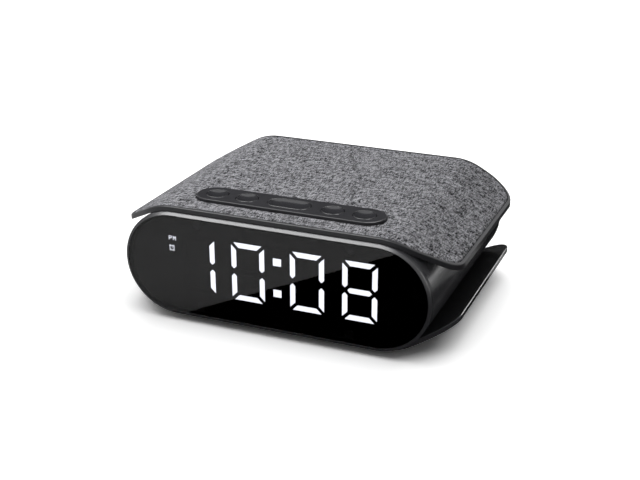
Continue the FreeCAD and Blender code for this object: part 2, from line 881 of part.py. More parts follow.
def switch_board():
    low_z = switch_board_top_z - board_thickness
    board = block(-switch_board_half_length, switch_board_half_length,
                  bar_y - switch_board_half_width, bar_y + switch_board_half_width, low_z, switch_board_top_z)
    holes = [round_z(screw_radius + pilot_fit, x, bar_y, low_z, switch_board_top_z) for x in (-post_x, post_x)]
    return cut(board, holes)


def switch_board_screws():
    z = switch_board_top_z - board_thickness - screw_head_height
    return group([screw(x, bar_y, z, place(0, 0, 1), screw_radius, screw_head_radius,
                        screw_head_height, screw_length) for x in (-post_x, post_x)])


# Screws that hold the shells

def cover_screws():
    up = place(0, 0, 1)
    down = place(0, 0, -1)
    length = sleeve_wall + cover_gap + cover_screw_bite
    screws = []
    for x, y in cover_screw_places():
        screws.append(screw(x, y, roof_z - screw_head_height, up, screw_radius, screw_head_radius,
                            screw_head_height, length))
        screws.append(screw(x, y, floor_z + screw_head_height, down, screw_radius, screw_head_radius,
                            screw_head_height, length))
    for x in (-bar_screw_x, bar_screw_x):
        screws.append(screw(x, bar_y, roof_z - screw_head_height, up, screw_radius, screw_head_radius,
                            screw_head_height, sleeve_wall + bar_screw_bite))
    return group(screws)


def rear_screws():
    y = rear_face_y
    return group([screw(x, y, z, place(0, -1, 0), rear_screw_radius, rear_head_radius,
                        rear_head_height, rear_screw_length) for x, z in rear_screw_places()])


# Rear cover

def grille_places():
    places = [(speaker_x, axis_z)]
    for ring in range(1, grille_rings + 1):
        count = 6 * ring
        for step in range(count):
            angle = 2 * math.pi * step / count
            radius = grille_pitch * ring
            places.append((speaker_x + radius * math.cos(angle), axis_z + radius * math.sin(angle)))
    return places


def speaker_boss_places():
    places = []
    for step in range(4):
        angle = math.pi / 4 + math.pi / 2 * step
        places.append((speaker_x + speaker_screw_circle * math.cos(angle),
                       axis_z + speaker_screw_circle * math.sin(angle)))
    return places


def rear_cover():
    plate = stadium(body_radius, rear_inner_y, rear_face_y)
    plate = plate.makeFillet(edge_round, outer_front_edges(plate, rear_face_y, body_radius))
    outer = sleeve_inner_radius - skirt_fit
    within = stadium(outer, rear_inner_y - rear_spigot, rear_inner_y)
    spigot = within.cut(stadium(outer - spigot_wall, rear_inner_y - rear_spigot - overrun, rear_inner_y))
    additions = [plate, spigot]
    holes = []
    inner_y = rear_inner_y - gasket_thickness
    for x, z in speaker_boss_places():
        additions.append(round_y(speaker_boss_radius, x, inner_y, rear_inner_y, z))
        holes.append(round_y(screw_radius + pilot_fit, x, inner_y, rear_inner_y + cover_screw_bite, z))
    for x, z in grille_places():
        holes.append(round_y(grille_hole_radius, x, rear_inner_y - overrun, rear_face_y + overrun, z))
    for x, z in rear_screw_places():
        boss = round_y(rear_boss_radius, x, rear_inner_y - rear_spigot, rear_inner_y, z)
        additions.append(boss.common(within))
        holes.append(round_y(rear_screw_radius + pilot_fit, x, rear_inner_y - rear_spigot, rear_face_y, z))
        holes.append(round_y(rear_head_radius + pilot_fit, x, rear_face_y - rear_head_height, rear_face_y, z))
    socket_z = main_top_z + power_socket_height / 2
    holes.append(round_y(power_window_radius, power_socket_x, rear_inner_y, rear_face_y, socket_z))
    half_w = door_width / 2
    half_h = door_height / 2
    rebate_y = rear_face_y - door_thickness
    holes.append(door_plate(door_fit))
    holes.append(block(door_x + door_ledge - half_w, door_x + half_w - door_ledge, rear_inner_y, rear_face_y,
                       axis_z + door_ledge - half_h, axis_z + half_h - door_ledge))
    frame = join(additions)
    frame = cut(frame, holes)
    lug = round_y(speaker_boss_radius, door_x, rebate_y - rear_spigot, rebate_y, door_screw_z)
    web = block(door_x - speaker_boss_radius, door_x + speaker_boss_radius, rebate_y - rear_spigot, rebate_y,
                door_screw_z, axis_z + half_h)
    pilot = round_y(screw_radius + pilot_fit, door_x, rebate_y - rear_spigot, rebate_y, door_screw_z)
    return join([frame, lug, web]).cut(pilot)


def door_plate(fit):
    half_w = door_width / 2 + fit
    half_h = door_height / 2 + fit
    y0 = rear_face_y - door_thickness
    plate = block(door_x - half_w, door_x + half_w, y0, rear_face_y, axis_z - half_h, axis_z + half_h)
    corners = [edge for edge in plate.Edges if edge.BoundBox.YLength > door_thickness / 2]
    return plate.makeFillet(door_round + fit, corners)


def battery_door():
    seat = door_thickness / 2
    head = round_y(screw_head_radius + door_fit, door_x, rear_face_y - seat, rear_face_y, door_screw_z)
    shank = round_y(screw_radius + pilot_fit, door_x, rear_face_y - door_thickness, rear_face_y, door_screw_z)
    return cut(door_plate(0), [head, shank])


def door_screw():
    return screw(door_x, rear_face_y, door_screw_z, place(0, -1, 0), screw_radius - pilot_fit,
                 screw_head_radius, door_thickness / 2, door_thickness / 2 + rear_spigot)


def cell_holder():
    """A shallow cup behind the door, hung from the rear cover."""
    half_w = door_width / 2 - door_ledge - door_fit
    radius = cell_radius + cell_play
    rear_y = rear_face_y - door_thickness - cell_play
    high_z = cell_z + cell_radius + cell_play
    low_z = cell_z - radius - holder_wall
    cup = block(door_x - half_w, door_x + half_w, holder_front_y, rear_inner_y, low_z, high_z)
    cup = cup.cut(round_y(radius, door_x, holder_front_y + holder_floor, rear_y + overrun, cell_z))
    tabs = []
    for side in (-1, 1):
        x0 = door_x + side * half_w
        x1 = x0 + side * door_ledge * 2
        tabs.append(block(min(x0, x1), max(x0, x1), rear_inner_y - holder_wall, rear_inner_y,
                          cell_z - cell_radius / 2, cell_z + cell_radius / 2))
    return join([cup] + tabs)


def coin_cell():
    front_y = holder_front_y + holder_floor
    can = round_y(cell_radius, door_x, front_y, front_y + cell_thickness * 0.75, cell_z)
    lid = round_y(cell_radius - cell_play * 3, door_x, front_y, front_y + cell_thickness, cell_z)
    return can.fuse(lid)


# Loudspeaker, which faces the grille

def turned(points):
    """A solid turned about the speaker's axis: points are (radius, depth from the flange)."""
    y = rear_inner_y - gasket_thickness
    corners = [place(speaker_x + radius, y - depth, axis_z) for radius, depth in points]
    face = Part.Face(Part.makePolygon(corners + [corners[0]]))
    return face.revolve(place(speaker_x, 0, axis_z), place(0, 1, 0), 360)


def speaker_frame():
    wall = basket_wall
    waist = speaker_depth - magnet_height
    basket = turned([
        (surround_radius, 0), (speaker_radius, 0), (speaker_radius, flange_thickness),
        (surround_radius + wall, flange_thickness), (basket_rear_radius, waist), (cone_throat_radius, waist),
        (cone_throat_radius, waist - wall), (basket_rear_radius - wall, waist - wall),
        (surround_radius - wall / 2, flange_thickness),
    ])
    y = rear_inner_y - gasket_thickness
    ears = [round_y(speaker_boss_radius, x, y - flange_thickness, y, z) for x, z in speaker_boss_places()]
    holes = [round_y(screw_radius + pilot_fit, x, y - flange_thickness, y, z) for x, z in speaker_boss_places()]
    clear = round_y(surround_radius, speaker_x, y - flange_thickness, y, axis_z)
    return cut(join([basket] + ears), holes + [clear])


def speaker_cone():
    t = cone_thickness
    rim = surround_radius - 2 * cell_fit
    neck = speaker_depth - magnet_height - 2 * basket_wall - t
    roll = cone_thickness * 2
    return turned([
        (rim, 0), (rim, t), (rim - roll, t), (rim - 2 * roll, 2 * t), (cone_throat_radius, neck),
        (cone_throat_radius - t, neck), (cone_throat_radius - t, neck - t), (rim - 2 * roll, t), (rim - roll, 0),
    ])


def speaker_dust_cap():
    radius = (cap_radius ** 2 + cap_height ** 2) / (2 * cap_height)
    neck = speaker_depth - magnet_height - 2 * basket_wall - 2 * cone_thickness
    base_y = rear_inner_y - gasket_thickness - neck + 2 * cone_thickness
    ball = Part.makeSphere(radius, place(speaker_x, base_y + cap_height - radius, axis_z))
    shell = ball.cut(Part.makeSphere(radius - cone_thickness / 2, place(speaker_x, base_y + cap_height - radius, axis_z)))
    return shell.common(round_y(cap_radius, speaker_x, base_y, base_y + cap_height, axis_z))


def speaker_magnet():
    y = rear_inner_y - gasket_thickness - speaker_depth
    body = round_y(magnet_radius, speaker_x, y, y + magnet_height, axis_z)
    edges = [edge for edge in body.Edges if edge.BoundBox.YMax < y + edge_tolerance]
    return body.makeChamfer(edge_round, edges)


def speaker_gasket():
    y = rear_inner_y - gasket_thickness
    ring = round_y(speaker_radius - cell_fit * 3, speaker_x, y, rear_inner_y, axis_z)
    ring = ring.cut(round_y(speaker_radius - gasket_width, speaker_x, y, rear_inner_y, axis_z))
    return cut(ring, [round_y(speaker_boss_radius + cell_fit, x, y, rear_inner_y, z)
                      for x, z in speaker_boss_places()])


def speaker_screws():
    y = rear_inner_y - gasket_thickness - flange_thickness - screw_head_height
    length = flange_thickness + gasket_thickness + cover_screw_bite
    return group([screw(x, y, z, place(0, 1, 0), screw_radius, screw_head_radius,
                        screw_head_height, length) for x, z in speaker_boss_places()])


# Main board

def main_board():
    board = block(-main_half_width, main_half_width, edge_y + main_front, edge_y + main_rear,
                  main_board_z, main_top_z)
    return cut(board, [round_z(screw_radius + pilot_fit, x, y, main_board_z, main_top_z)
                       for x, y in main_post_places()])


def main_board_screws():
    return group([screw(x, y, main_top_z + screw_head_height, place(0, 0, -1), screw_radius,
                        screw_head_radius, screw_head_height, screw_length) for x, y in main_post_places()])


def on_board(x, y, length, depth, height):
    """A block on the main board, centred on a place measured from the bezel edge."""
    y = edge_y + y
    return block(x - length / 2, x + length / 2, y - depth / 2, y + depth / 2, main_top_z, main_top_z + height)


def legs(x, y, length, depth, count, pitch):
    """A row of flat pins down both long sides of a chip."""
    pins = []
    first = x - pitch * (count - 1) / 2
    for i in range(count):
        centre = first + pitch * i
        for side in (-1, 1):
            low = edge_y + y + side * depth / 2
            high = low + side * pitch
            pins.append(block(centre - pitch / 4, centre + pitch / 4, min(low, high), max(low, high),
                              main_top_z, main_top_z + pitch / 4))
    return pins


def voice_chip():
    y = board_middle_y
    x = -main_half_width / 2
    body = on_board(x, y, voice_chip_side, voice_chip_side, voice_chip_height)
    pitch = voice_chip_side / 10
    return join([body] + legs(x, y, voice_chip_side, voice_chip_side, 8, pitch))


def clock_chip():
    y = board_middle_y
    x = main_half_width / 3
    body = on_board(x, y, clock_chip_length, clock_chip_width, clock_chip_height)
    pitch = clock_chip_length / 10
    return join([body] + legs(x, y, clock_chip_length, clock_chip_width, 8, pitch))


def clock_crystal():
    y = board_middle_y - clock_chip_width - crystal_width
    can = on_board(main_half_width / 3, y, crystal_length, crystal_width, crystal_height)
    edges = [edge for edge in can.Edges if edge.BoundBox.ZLength > crystal_height / 2]
    return can.makeFillet(crystal_width / 3, edges)


def capacitors():
    cans = []
    x = main_half_width - 2 * main_post_inset - large_capacitor_radius
    y = edge_y + board_middle_y
    for radius, height, step in (
            (large_capacitor_radius, large_capacitor_height, 0),
            (small_capacitor_radius, small_capacitor_height, large_capacitor_radius + 2 * small_capacitor_radius)):
        can = round_z(radius, x, y - step, main_top_z, main_top_z + height)
        rims = [edge for edge in can.Edges if edge.BoundBox.ZMin > main_top_z + height / 2]
        cans.append(can.makeFillet(radius / 8, rims))
    return group(cans)


def connectors():
    """Sockets that the two ribbons plug into."""
    return group([
        on_board(ribbon_x, connector_y, connector_width, connector_depth, connector_height),
        on_board(switch_ribbon_x, connector_y, connector_width, connector_depth, connector_height),
    ])


def power_socket():
    z = main_top_z + power_socket_height / 2
    half = power_socket_width / 2
    front_y = rear_inner_y - power_socket_depth
    body = block(power_socket_x - half, power_socket_x + half, front_y, rear_inner_y,
                 main_top_z, main_top_z + power_socket_height)
    body = body.cut(round_y(power_bore_radius, power_socket_x, rear_inner_y - power_bore_depth, rear_inner_y, z))
    pin = round_y(power_pin_radius, power_socket_x, rear_inner_y - power_bore_depth, rear_inner_y - edge_round, z)
    return body.fuse(pin)


# Ribbons: a flat strip bent in the YZ plane

def ribbon(x, route):
    """A strip that follows straight runs with round bends."""
    points = [place(x - ribbon_width / 2, y, z) for y, z in route]
    edges = []
    last = points[0]
    for i in range(1, len(points) - 1):
        corner = points[i]
        back = (points[i - 1] - corner).normalize()
        ahead = (points[i + 1] - corner).normalize()
        half_angle = back.getAngle(ahead) / 2
        reach = ribbon_bend / math.tan(half_angle)
        start = corner + back * reach
        end = corner + ahead * reach
        inward = (back + ahead).normalize()
        middle = corner + inward * (ribbon_bend / math.sin(half_angle) - ribbon_bend)
        edges.append(Part.makeLine(last, start))
        edges.append(Part.Arc(start, middle, end).toShape())
        last = end
    edges.append(Part.makeLine(last, points[-1]))
    strip = Part.Wire(edges).makeOffset2D(ribbon_thickness, 0, True, True)
    return strip.extrude(place(ribbon_width, 0, 0))


def display_ribbon():
    y_socket = edge_y + connector_y
    z_socket = main_top_z + connector_height
    lift = z_socket + ribbon_tail
    return ribbon(ribbon_x, [(display_board_rear_y, lift), (y_socket, lift), (y_socket, z_socket)])


def switch_ribbon():
    y_socket = edge_y + connector_y
    z_board = switch_board_top_z - board_thickness
    z_socket = main_top_z + connector_height
    start_y = bar_y + switch_board_half_width / 2
    return ribbon(switch_ribbon_x, [
        (start_y, z_board),
        (start_y, z_board - 2 * ribbon_tail),
        (y_socket, z_board - 2 * ribbon_tail),
        (y_socket, z_socket),
    ])


nodes = {
    "body_sleeve": body_sleeve(),
    "front_bezel": front_bezel(),
    "display_window": display_window(),
    "display_mask": display_mask(),
    "unlit_bars": unlit_bars(),
    "colon_dots": group(colon_bars(0, mask_front_y, mask_front_y + bar_depth)),
    "indicator_icons": indicator_icons(),
    "display_board": display_board(),
    "segment_leds": segment_leds(),
    "display_screws": display_screws(),
    "top_cover": top_cover(),
    "fabric_panel": fabric_panel(),
    "bottom_cover": bottom_cover(),
    "button_bar": button_bar(),
    "switch_housings": switch_housings(),
    "switch_board": switch_board(),
    "switch_board_screws": switch_board_screws(),
    "cover_screws": cover_screws(),
    "rear_cover": rear_cover(),
    "rear_screws": rear_screws(),
    "battery_door": battery_door(),
    "door_screw": door_screw(),
    "cell_holder": cell_holder(),
    "coin_cell": coin_cell(),
    "speaker_frame": speaker_frame(),
    "speaker_cone": speaker_cone(),
    "speaker_dust_cap": speaker_dust_cap(),
    "speaker_magnet": speaker_magnet(),
    "speaker_gasket": speaker_gasket(),
    "speaker_screws": speaker_screws(),
    "main_board": main_board(),
    "main_board_screws": main_board_screws(),
    "voice_chip": voice_chip(),
    "clock_chip": clock_chip(),
    "clock_crystal": clock_crystal(),
    "capacitors": capacitors(),
    "connectors": connectors(),
    "power_socket": power_socket(),
    "display_ribbon": display_ribbon(),
    "switch_ribbon": switch_ribbon(),
}

for index in range(len(lit_bars)):
    bars = digit_bars(index, True, 0, mask_front_y, mask_front_y + bar_depth)
    nodes["digit_%d" % (index + 1)] = group(bars)

for name, x, half_length in button_places():
    nodes[name] = button_cap(x, half_length)
    nodes[name.replace("button", "plunger")] = switch_plunger(x)

for (x, y), name in zip(foot_places(), ("left_front", "left_rear", "right_front", "right_rear")):
    nodes["rubber_foot_" + name] = rubber_foot(x, y)

os.makedirs("parts", exist_ok=True)
for name, shape in nodes.items():
    if not shape.isValid():
        print("not valid:", name)
    shape.exportStep("parts/%s.step" % name)
    box = shape.BoundBox
    print("%-26s solids %2d  x %7.2f %7.2f  y %7.2f %7.2f  z %6.2f %6.2f  volume %9.1f" % (
        name, len(shape.Solids), box.XMin, box.XMax, box.YMin, box.YMax, box.ZMin, box.ZMax, shape.Volume))
print("nodes:", len(nodes))
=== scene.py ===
import json
import math
import bpy
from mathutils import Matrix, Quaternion, Vector
from mathutils.geometry import delaunay_2d_cdt


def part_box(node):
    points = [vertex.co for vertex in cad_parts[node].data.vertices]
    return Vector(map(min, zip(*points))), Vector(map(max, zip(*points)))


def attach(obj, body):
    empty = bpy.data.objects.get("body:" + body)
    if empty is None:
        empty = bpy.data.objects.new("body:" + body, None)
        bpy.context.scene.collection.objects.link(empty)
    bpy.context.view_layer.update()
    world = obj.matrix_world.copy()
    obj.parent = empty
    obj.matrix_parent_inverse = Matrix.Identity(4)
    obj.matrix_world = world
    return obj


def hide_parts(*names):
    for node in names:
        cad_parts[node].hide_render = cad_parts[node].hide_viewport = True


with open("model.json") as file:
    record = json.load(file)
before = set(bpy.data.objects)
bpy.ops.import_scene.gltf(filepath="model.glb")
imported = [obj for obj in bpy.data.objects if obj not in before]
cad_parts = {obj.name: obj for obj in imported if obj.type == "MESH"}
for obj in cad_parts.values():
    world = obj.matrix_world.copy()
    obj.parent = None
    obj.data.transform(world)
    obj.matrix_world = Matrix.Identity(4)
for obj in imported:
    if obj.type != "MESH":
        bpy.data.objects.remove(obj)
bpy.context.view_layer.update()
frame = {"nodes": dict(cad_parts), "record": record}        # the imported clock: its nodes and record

mm = 0.001               # the frame is in metres


def linear(hexColour):
    channels = [int(hexColour[i:i + 2], 16) / 255 for i in (1, 3, 5)]
    return tuple(c / 12.92 if c <= 0.04045 else ((c + 0.055) / 1.055) ** 2.4 for c in channels) + (1.0,)


def addNode(tree, kind, inputs=None, **settings):
    node = tree.nodes.new("ShaderNode" + kind)
    for name, value in settings.items():
        setattr(node, name, value)
    for name, value in (inputs or {}).items():
        if isinstance(value, bpy.types.NodeSocket):
            tree.links.new(value, node.inputs[name])
        else:
            node.inputs[name].default_value = value
    return node


def startMaterial(name, shader):
    material = bpy.data.materials.new(name)
    material.use_nodes = True
    tree = material.node_tree
    tree.nodes.clear()
    surface = addNode(tree, "BsdfPrincipled", shader)
    addNode(tree, "OutputMaterial", {"Surface": surface.outputs[0]})
    where = addNode(tree, "TexCoord").outputs["Object"]
    return material, tree, surface, where


# Moulded plastics and rubber: the melt leaves faint clouds of colour and gloss, the mould leaves the grain.
# Real mould grain is 0.05 to 0.2 mm wide: it is drawn two to five times as coarse, so that it shows at all

def mouldedPlastic(name, finish):
    material, tree, surface, where = startMaterial(name, {
        "IOR": finish["ior"], "Specular IOR Level": finish.get("shine", 0.5)})
    cloud = addNode(tree, "TexNoise", {"Vector": where, "Scale": 1 / (finish["cloudMm"] * mm), "Detail": 3.0})
    colour = addNode(tree, "Mix", {0: cloud.outputs[0], 6: linear(finish["colour"]),
                                   7: linear(finish["cloud"])}, data_type="RGBA")
    tree.links.new(colour.outputs[2], surface.inputs["Base Color"])
    low, high = finish["roughness"]
    gloss = addNode(tree, "MapRange", {"Value": cloud.outputs[0], "To Min": low, "To Max": high})
    tree.links.new(gloss.outputs[0], surface.inputs["Roughness"])
    grain = addNode(tree, "TexNoise", {"Vector": where, "Scale": 1 / (finish["grainMm"] * mm), "Detail": 2.0})
    bump = addNode(tree, "Bump", {"Height": grain.outputs[0], "Distance": finish["deepMm"] * mm})
    tree.links.new(bump.outputs[0], surface.inputs["Normal"])
    return material


plastics = {
    # gloss ABS from a polished mould: near-black, with clear reflections softened by faint orange peel
    "gloss_black_abs": {"colour": "#363639", "cloud": "#3D3D40", "roughness": (0.22, 0.3), "ior": 1.5,
                        "shine": 0.3, "cloudMm": 22, "grainMm": 5.0, "deepMm": 0.01},
    # ABS from a spark-eroded mould: dull charcoal with a fine sandy tooth
    "satin_black_abs": {"colour": "#353537", "cloud": "#3C3C3E", "roughness": (0.46, 0.58), "ior": 1.5,
                        "cloudMm": 18, "grainMm": 0.7, "deepMm": 0.03},
    # ABS from a vapour-blasted mould: soft grey sheen with a barely visible grain
    "dark_grey_abs": {"colour": "#2E2E31", "cloud": "#343437", "roughness": (0.27, 0.35), "ior": 1.5,
                      "shine": 0.4, "cloudMm": 14, "grainMm": 0.6, "deepMm": 0.006},
    # the same plastic, rubbed smoother by fingers
    "button_abs": {"colour": "#323235", "cloud": "#39393C", "roughness": (0.12, 0.18), "ior": 1.5,
                   "cloudMm": 6, "grainMm": 0.6, "deepMm": 0.004},
    # carbon-filled ABS of the light box: as dull and dark as it can be
    "mask_abs": {"colour": "#020202", "cloud": "#030303", "roughness": (0.7, 0.8), "ior": 1.5, "shine": 0.05,
                 "cloudMm": 12, "grainMm": 0.6, "deepMm": 0.01},
    # smoke-tinted light guide with its lamp off: it sinks into the mask
    "unlit_diffuser": {"colour": "#020202", "cloud": "#030303", "roughness": (0.7, 0.8), "ior": 1.49,
                       "shine": 0.05, "cloudMm": 5, "grainMm": 0.4, "deepMm": 0.01},
    # glass-filled nylon: dull black with a dry, slightly fibrous face
    "switch_nylon": {"colour": "#161617", "cloud": "#202022", "roughness": (0.5, 0.65), "ior": 1.53,
                     "cloudMm": 3, "grainMm": 0.3, "deepMm": 0.01},
    # pigmented nylon of the switch plungers: brick red, waxy
    "plunger_nylon": {"colour": "#A63A2A", "cloud": "#B54532", "roughness": (0.35, 0.45), "ior": 1.53,
                      "cloudMm": 2, "grainMm": 0.3, "deepMm": 0.005},
    "holder_abs": {"colour": "#1B1B1D", "cloud": "#242426", "roughness": (0.4, 0.5), "ior": 1.5,
                   "cloudMm": 8, "grainMm": 0.5, "deepMm": 0.015},          # plain moulded ABS
    "socket_nylon": {"colour": "#101011", "cloud": "#171718", "roughness": (0.4, 0.5), "ior": 1.53,
                     "cloudMm": 4, "grainMm": 0.4, "deepMm": 0.01},         # moulded nylon, faintly waxy
    "chip_epoxy": {"colour": "#151516", "cloud": "#1D1D1F", "roughness": (0.55, 0.7), "ior": 1.55,
                   "cloudMm": 2, "grainMm": 0.25, "deepMm": 0.015},         # transfer-moulded epoxy, matt
    "ribbon_film": {"colour": "#C9C8C2", "cloud": "#BEBDB6", "roughness": (0.3, 0.4), "ior": 1.57,
                    "cloudMm": 5, "grainMm": 1.0, "deepMm": 0.01},          # laminated polyester film
    # compression-moulded rubber: deep black, almost without shine
    "rubber": {"colour": "#0E0E0E", "cloud": "#161616", "roughness": (0.78, 0.9), "ior": 1.52,
               "cloudMm": 4, "grainMm": 0.4, "deepMm": 0.03},
    # closed-cell foam, die cut: a pitted dull black
    "foam_gasket": {"colour": "#111112", "cloud": "#1B1B1C", "roughness": (0.85, 0.95), "ior": 1.45,
                    "cloudMm": 2, "grainMm": 0.5, "deepMm": 0.12},
    # pressed paper pulp dyed black: soft fibres in a stiff cone
    "paper_cone": {"colour": "#121212", "cloud": "#1E1D1C", "roughness": (0.8, 0.9), "ior": 1.45,
                   "cloudMm": 1.5, "grainMm": 0.5, "deepMm": 0.06},
    # sintered ferrite: dark grey ceramic with fine pores
    "ferrite": {"colour": "#2E2E31", "cloud": "#3A3A3D", "roughness": (0.5, 0.65), "ior": 2.0,
                "cloudMm": 3, "grainMm": 0.35, "deepMm": 0.03},
}


# Metals: bright where plated or drawn, with soft marks of rolling and plating

def finishedMetal(name, finish):
    material, tree, surface, where = startMaterial(name, {"Metallic": 1.0})
    stretched = addNode(tree, "Mapping", {"Vector": where, "Scale": finish["stretch"]})
    marks = addNode(tree, "TexNoise", {"Vector": stretched.outputs[0], "Scale": 1 / (finish["markMm"] * mm),
                                       "Detail": 4.0})
    colour = addNode(tree, "Mix", {0: marks.outputs[0], 6: linear(finish["colour"]),
                                   7: linear(finish["dull"])}, data_type="RGBA")
    tree.links.new(colour.outputs[2], surface.inputs["Base Color"])
    low, high = finish["roughness"]
    gloss = addNode(tree, "MapRange", {"Value": marks.outputs[0], "To Min": low, "To Max": high})
    tree.links.new(gloss.outputs[0], surface.inputs["Roughness"])
    bump = addNode(tree, "Bump", {"Height": marks.outputs[0], "Distance": finish["deepMm"] * mm})
    tree.links.new(bump.outputs[0], surface.inputs["Normal"])
    return material


metals = {
    # bright zinc on steel: cool silver with soft grey bloom
    "zinc_screw": {"colour": "#C3C6CA", "dull": "#9EA2A8", "roughness": (0.28, 0.42), "stretch": (1, 1, 1),
                   "markMm": 0.8, "deepMm": 0.006},
    # black oxide on steel: oily charcoal that still shines on its edges
    "black_screw": {"colour": "#2A2A2C", "dull": "#1C1C1E", "roughness": (0.32, 0.45), "stretch": (1, 1, 1),
                    "markMm": 0.6, "deepMm": 0.006},
    "nickel_cell": {"colour": "#CFCDC6", "dull": "#B9B7B0", "roughness": (0.3, 0.4), "stretch": (1, 1, 3),
                    "markMm": 4.0, "deepMm": 0.0},              # nickel-plated steel, pressed smooth
    "pressed_steel": {"colour": "#B4B6B9", "dull": "#94979B", "roughness": (0.3, 0.45), "stretch": (1, 1, 1),
                      "markMm": 2.5, "deepMm": 0.01},           # zinc-plated steel sheet, pressed
    "crystal_can": {"colour": "#C9C8C4", "dull": "#AFAEAA", "roughness": (0.2, 0.32), "stretch": (6, 1, 1),
                    "markMm": 1.0, "deepMm": 0.004},            # drawn nickel-silver can
    "capacitor_can": {"colour": "#2C3350", "dull": "#20263F", "roughness": (0.35, 0.5), "stretch": (1, 1, 5),
                      "markMm": 1.5, "deepMm": 0.01},           # aluminium can in a shrunk blue sleeve
}


def etchedBoard():       # glass epoxy under green solder resist: tracks show as paler green lines
    board = {"resist": "#123F24", "track": "#1F5F36", "trackMm": 1.6, "trackEdge": 0.75, "deepMm": 0.03}
    material, tree, surface, where = startMaterial("etchedBoard", {"Roughness": 0.35, "IOR": 1.55})
    runs = addNode(tree, "TexVoronoi", {"Vector": where, "Scale": 1 / (board["trackMm"] * mm)},
                   distance="MANHATTAN", feature="F2")
    edge = addNode(tree, "Math", {0: runs.outputs["Distance"], 1: board["trackEdge"]},
                   operation="GREATER_THAN")
    colour = addNode(tree, "Mix", {0: edge.outputs[0], 6: linear(board["track"]),
                                   7: linear(board["resist"])}, data_type="RGBA")
    tree.links.new(colour.outputs[2], surface.inputs["Base Color"])
    bump = addNode(tree, "Bump", {"Height": edge.outputs[0], "Distance": board["deepMm"] * mm}, invert=True)
    tree.links.new(bump.outputs[0], surface.inputs["Normal"])
    return material


def litDiffuser():       # opal light guide with its lamp on: flat, cool white to the very edge
    opal = {"colour": "#F4F6FA", "cloud": "#FFFFFF", "light": "#F7FAFF", "glow": 4.3, "cloudMm": 4}
    material, tree, surface, where = startMaterial("litDiffuser", {
        "Emission Color": linear(opal["light"]), "Emission Strength": opal["glow"], "Roughness": 0.5,
        "IOR": 1.49})
    cloud = addNode(tree, "TexNoise", {"Vector": where, "Scale": 1 / (opal["cloudMm"] * mm)})
    colour = addNode(tree, "Mix", {0: cloud.outputs[0], 6: linear(opal["colour"]),
                                   7: linear(opal["cloud"])}, data_type="RGBA")
    tree.links.new(colour.outputs[2], surface.inputs["Base Color"])
    return material


def lampChip():          # white lamp chip under clear silicone, with a warm phosphor dot
    chip = {"case": "#D9D9D2", "phosphor": "#E8D774", "dotMm": 1.2, "dotEdge": (0.25, 0.4)}
    material, tree, surface, where = startMaterial("lampChip", {"Roughness": 0.3, "IOR": 1.5})
    dots = addNode(tree, "TexVoronoi", {"Vector": where, "Scale": 1 / (chip["dotMm"] * mm)})
    low, high = chip["dotEdge"]
    ramp = addNode(tree, "MapRange", {"Value": dots.outputs["Distance"], "From Min": low, "From Max": high})
    colour = addNode(tree, "Mix", {0: ramp.outputs[0], 6: linear(chip["phosphor"]),
                                   7: linear(chip["case"])}, data_type="RGBA")
    tree.links.new(colour.outputs[2], surface.inputs["Base Color"])
    return material


def castSmokedAcrylic():  # polished smoke-tinted sheet: deep black when unlit, with mirror-like reflections
    smoke = {"tint": "#8E8E92", "tintCloud": "#929296", "roughness": (0.0, 0.02), "cloudMm": 40}
    material, tree, surface, where = startMaterial("castSmokedAcrylic", {
        "IOR": 1.49, "Specular IOR Level": 0.42, "Transmission Weight": 1.0})
    cloud = addNode(tree, "TexNoise", {"Vector": where, "Scale": 1 / (smoke["cloudMm"] * mm)})
    colour = addNode(tree, "Mix", {0: cloud.outputs[0], 6: linear(smoke["tint"]),
                                   7: linear(smoke["tintCloud"])}, data_type="RGBA")
    tree.links.new(colour.outputs[2], surface.inputs["Base Color"])
    low, high = smoke["roughness"]
    gloss = addNode(tree, "MapRange", {"Value": cloud.outputs[0], "To Min": low, "To Max": high})
    tree.links.new(gloss.outputs[0], surface.inputs["Roughness"])
    return material


